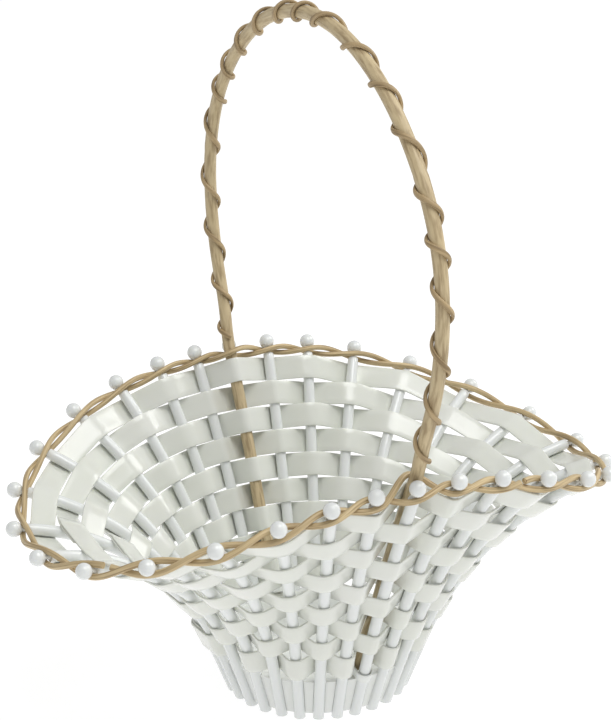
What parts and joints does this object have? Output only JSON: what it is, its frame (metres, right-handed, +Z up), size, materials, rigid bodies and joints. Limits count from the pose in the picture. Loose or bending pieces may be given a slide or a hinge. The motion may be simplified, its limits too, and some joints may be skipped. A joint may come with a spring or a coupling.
{
  "type": "flower girl basket",
  "caption": "Flared oval basket of white plastic strips woven round ball-tipped stakes, with a twined rattan rim and a tall cane handle wrapped in reed.",
  "frame": {"origin": "middle of the ring of feet, on the resting plane", "axes": "+Z up; X along the bowl's long axis; the handle stands in the YZ plane"},
  "size_m": [0.2972, 0.2566, 0.328],
  "materials": {
    "weaver_plastic": "glossy white, slightly translucent plastic strip",
    "stake_plastic": "glossy white round plastic rod with moulded ball tips",
    "tray_plastic": "glossy white moulded plastic",
    "rim_rattan": "natural rattan core, satin",
    "handle_cane": "peeled rattan cane, satin",
    "handle_reed": "split rattan reed, satin"
  },
  "bodies": {
    "root": {"base_tray": "tray_plastic", "stake_01": "stake_plastic", "stake_02": "stake_plastic", "stake_03": "stake_plastic", "stake_04": "stake_plastic", "stake_05": "stake_plastic", "stake_06": "stake_plastic", "stake_07": "stake_plastic", "stake_08": "stake_plastic", "stake_09": "stake_plastic", "stake_10": "stake_plastic", "stake_11": "stake_plastic", "stake_12": "stake_plastic", "stake_13": "stake_plastic", "stake_14": "stake_plastic", "stake_15": "stake_plastic", "stake_16": "stake_plastic", "stake_17": "stake_plastic", "stake_18": "stake_plastic", "stake_19": "stake_plastic", "stake_20": "stake_plastic", "stake_21": "stake_plastic", "stake_22": "stake_plastic", "stake_23": "stake_plastic", "stake_24": "stake_plastic", "stake_25": "stake_plastic", "stake_26": "stake_plastic", "stake_27": "stake_plastic", "stake_28": "stake_plastic", "stake_29": "stake_plastic", "weaver_01": "weaver_plastic", "weaver_02": "weaver_plastic", "weaver_03": "weaver_plastic", "weaver_04": "weaver_plastic", "weaver_05": "weaver_plastic", "weaver_06": "weaver_plastic", "weaver_07": "weaver_plastic", "weaver_08": "weaver_plastic", "weaver_09": "weaver_plastic", "rim_strand_a": "rim_rattan", "rim_strand_b": "rim_rattan", "handle_hoop": "handle_cane", "handle_reed": "handle_reed", "collar_back": "weaver_plastic", "collar_front": "weaver_plastic"}
  },
  "joints": []
}
